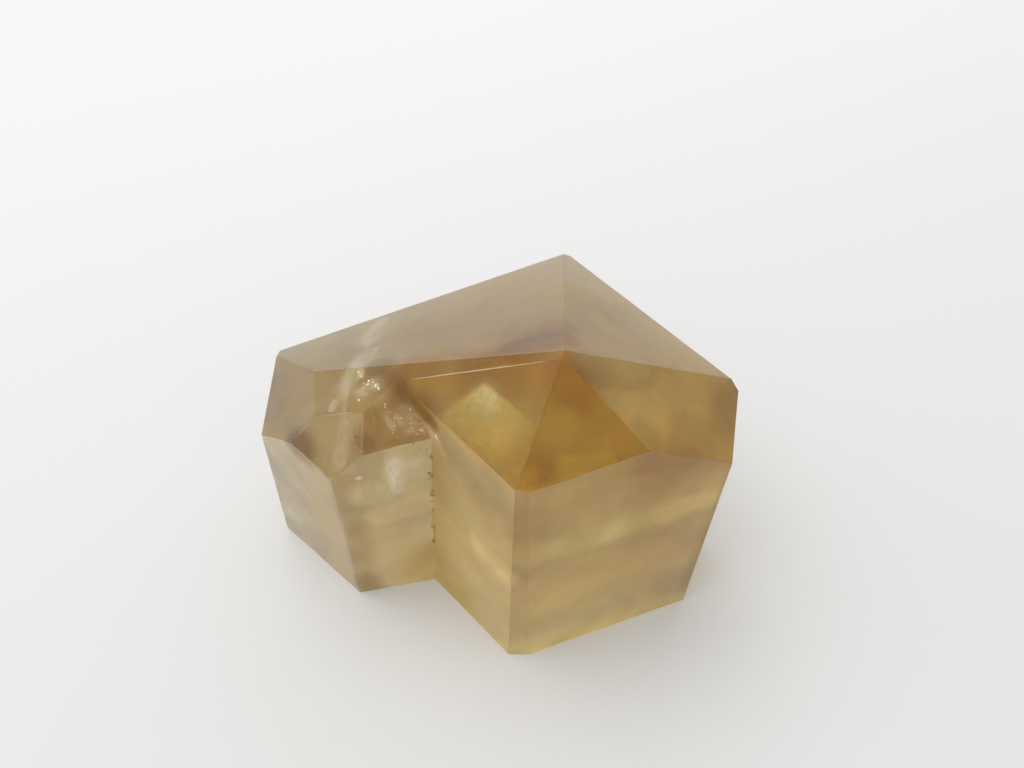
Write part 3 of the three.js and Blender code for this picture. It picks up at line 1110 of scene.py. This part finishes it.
def add_sheet(name, shape, material, thickness):
    """A veil or crack as a closed sheet of even thickness."""
    sheet = add_object(name, sheet_mesh(name, *shape), material)
    wall = sheet.modifiers.new("thickness", "SOLIDIFY")
    wall.thickness = thickness
    wall.offset = 0.0


class CITRINE_OT_crystal(Operator):
    """Build the crystal's polished body"""

    bl_idname = "citrine.crystal"
    bl_label = "Crystal"

    def execute(self, context):
        settings = context.scene.citrine_crystal
        crystal = add_object("citrine_body", crystal_mesh(settings), stone_material(settings))
        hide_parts(NODE)
        return {"FINISHED"}


class CITRINE_OT_veils(Operator):
    """Build the cloudy sheets inside the stone and the painted reflection under the front tip face
    """

    bl_idname = "citrine.veils"
    bl_label = "Veils"

    def execute(self, context):
        settings = context.scene.citrine_veils
        milky = veil_material(
            "milky_veil", settings.colour, settings.opacity,
            size=3.0 * MM, limits=(0.30, 0.65, 0.0, 1.0), stretch=(1.0, 0.5, 0.5))
        bright = veil_material(
            # The painted reflection under the front tip face, drawn as a bright sheet.
            "bright_veil", settings.tip_reflection_colour, settings.tip_reflection_opacity,
            size=0.6 * MM, limits=(0.3, 0.6, 0.75, 1.0), stretch=(1.0, 1.0, 1.0))
        add_sheet("suture_ribbon", suture_ribbon(), milky, settings.thickness)
        add_sheet("suture_wall", suture_wall(), milky, settings.thickness)
        add_sheet("tip_veil", patch_sheet(*TIP_REFLECTION_MM), bright, settings.thickness)
        return {"FINISHED"}


class CITRINE_OT_clouds(Operator):
    """Build the cloudy cracks right under the front faces, with a painted glint and a painted glow
    among them
    """

    bl_idname = "citrine.clouds"
    bl_label = "Clouds"

    def execute(self, context):
        settings = context.scene.citrine_clouds
        for name, clouds, lump, detail in (
            ("soft_clouds", SOFT_CLOUDS_MM, settings.soft_lump, 2.0),
            ("fine_clouds", FINE_CLOUDS_MM, settings.fine_lump, 5.0),
        ):
            material = cloud_material(name, lump, detail)
            add_sheet(name, face_clouds(clouds), material, settings.thickness)
        return {"FINISHED"}


class CITRINE_OT_flecks(Operator):
    """Scatter the bright cracks with a painted glint, the dark specks and the dust, and draw the
    painted edge highlights
    """

    bl_idname = "citrine.flecks"
    bl_label = "Flecks"

    def execute(self, context):
        settings = context.scene.citrine_flecks
        bright = chip_material("bright_crack", settings.colour, roughness=0.35)
        dark = chip_material("dark_speck", settings.dark_colour, roughness=0.5)
        for name, material, flatness, seed, clusters in (
            ("bright_flecks", bright, 0.25, 11, BRIGHT_CLUSTERS_MM),
            ("dark_specks", dark, 0.5, 23, DARK_CLUSTERS_MM),
            ("dust_motes", bright, 0.6, 37, DUST_CLUSTERS_MM),
        ):
            centres, sizes = scatter(clusters, settings.size, seed)
            add_object(name, chips_mesh(name, centres, sizes, flatness, seed), material)
        edge_paint = chip_material("ridge_wear", settings.edge_highlight_colour, roughness=0.5)
        add_object("worn_ridges", highlight_tubes(), edge_paint)
        return {"FINISHED"}


class CITRINE_OT_stage(Operator):
    """Set the table, the soft light and the camera"""

    bl_idname = "citrine.stage"
    bl_label = "Stage"

    def execute(self, context):
        settings = context.scene.citrine_stage
        scene = context.scene
        corners = [
            (x * TABLE_HALF, y * TABLE_HALF, TABLE_LEVEL)
            for x, y in ((-1, -1), (1, -1), (1, 1), (-1, 1))]
        mesh = new_mesh("table", corners, [(0, 1, 2, 3)])
        mesh.materials.append(table_material(settings))
        table = bpy.data.objects.new("table", mesh)
        scene.collection.objects.link(table)
        add_surroundings(scene, settings)
        add_camera(scene, settings)
        scene.view_settings.view_transform = "Standard"
        for kind in ("max", "transmission", "glossy", "transparent_max"):
            setattr(scene.cycles, kind + "_bounces", LIGHT_BOUNCES)
        return {"FINISHED"}


def add_surroundings(scene, settings):
    """Pale surroundings: even white light, and soft lights that add to it or take from it."""
    nodes = Nodes(bpy.data.worlds.new("soft_room"), place="Generated")
    scene.world = nodes.owner
    level = settings.light_level - settings.light_slant
    for name, (factor, direction, start) in ROOM_LIGHTS.items():
        toward = nodes.vector("DOT_PRODUCT", nodes.place, direction)
        light = nodes.remap(toward, start, 1.0, 0.0, factor * getattr(settings, name))
        level = nodes.math("ADD", light, level)
    nodes.set("Background", Strength=level, Color=(1.0, 1.0, 1.0, 1.0))


def add_camera(scene, settings):
    """The camera, in front of the crystal and above it."""
    data = bpy.data.cameras.new("camera")
    data.sensor_width = SENSOR_WIDTH_MM
    data.lens = settings.lens
    data.clip_start = CAMERA_NEAR
    camera = bpy.data.objects.new("camera", data)
    scene.collection.objects.link(camera)
    turn = Matrix.Rotation(math.radians(90) - CAMERA_DOWN, 4, "X")
    turn = turn @ Matrix.Rotation(CAMERA_ROLL, 4, "Z")
    camera.matrix_world = Matrix.Translation(CAMERA_PLACE) @ turn
    scene.camera = camera


class CITRINE_PT_parts(Panel):
    """The crystal's settings and the buttons that build it"""

    bl_label = "Citrine double point"
    bl_idname = "CITRINE_PT_parts"
    bl_space_type = "VIEW_3D"
    bl_region_type = "UI"
    bl_category = "Citrine"

    def draw(self, context):
        for settings, (_, operator) in BUILD_ORDER.items():
            box = self.layout.box()
            box.operator(operator.bl_idname)
            group = getattr(context.scene, settings)
            for name in group.bl_rna.properties.keys():
                if name not in {"rna_type", "name"}:
                    box.prop(group, name)


BUILD_ORDER = {
    "citrine_crystal": (CrystalSettings, CITRINE_OT_crystal),
    "citrine_veils": (VeilSettings, CITRINE_OT_veils),
    "citrine_clouds": (CloudSettings, CITRINE_OT_clouds),
    "citrine_flecks": (FleckSettings, CITRINE_OT_flecks),
    "citrine_stage": (StageSettings, CITRINE_OT_stage),
}
CLASSES = (*(item for pair in BUILD_ORDER.values() for item in pair), CITRINE_PT_parts)


def register():
    """Registers the classes and hangs each group of settings on the scene."""
    for item in CLASSES:
        bpy.utils.register_class(item)
    for name, (group, _) in BUILD_ORDER.items():
        setattr(bpy.types.Scene, name, PointerProperty(type=group))


def unregister():
    """Takes away what `register` added."""
    for name in BUILD_ORDER:
        delattr(bpy.types.Scene, name)
    for item in reversed(CLASSES):
        bpy.utils.unregister_class(item)


def main():
    """Builds every piece in order."""
    register()
    bpy.ops.citrine.crystal()
    bpy.ops.citrine.veils()
    bpy.ops.citrine.clouds()
    bpy.ops.citrine.flecks()
    bpy.ops.citrine.stage()


if __name__ == "__main__":
    main()
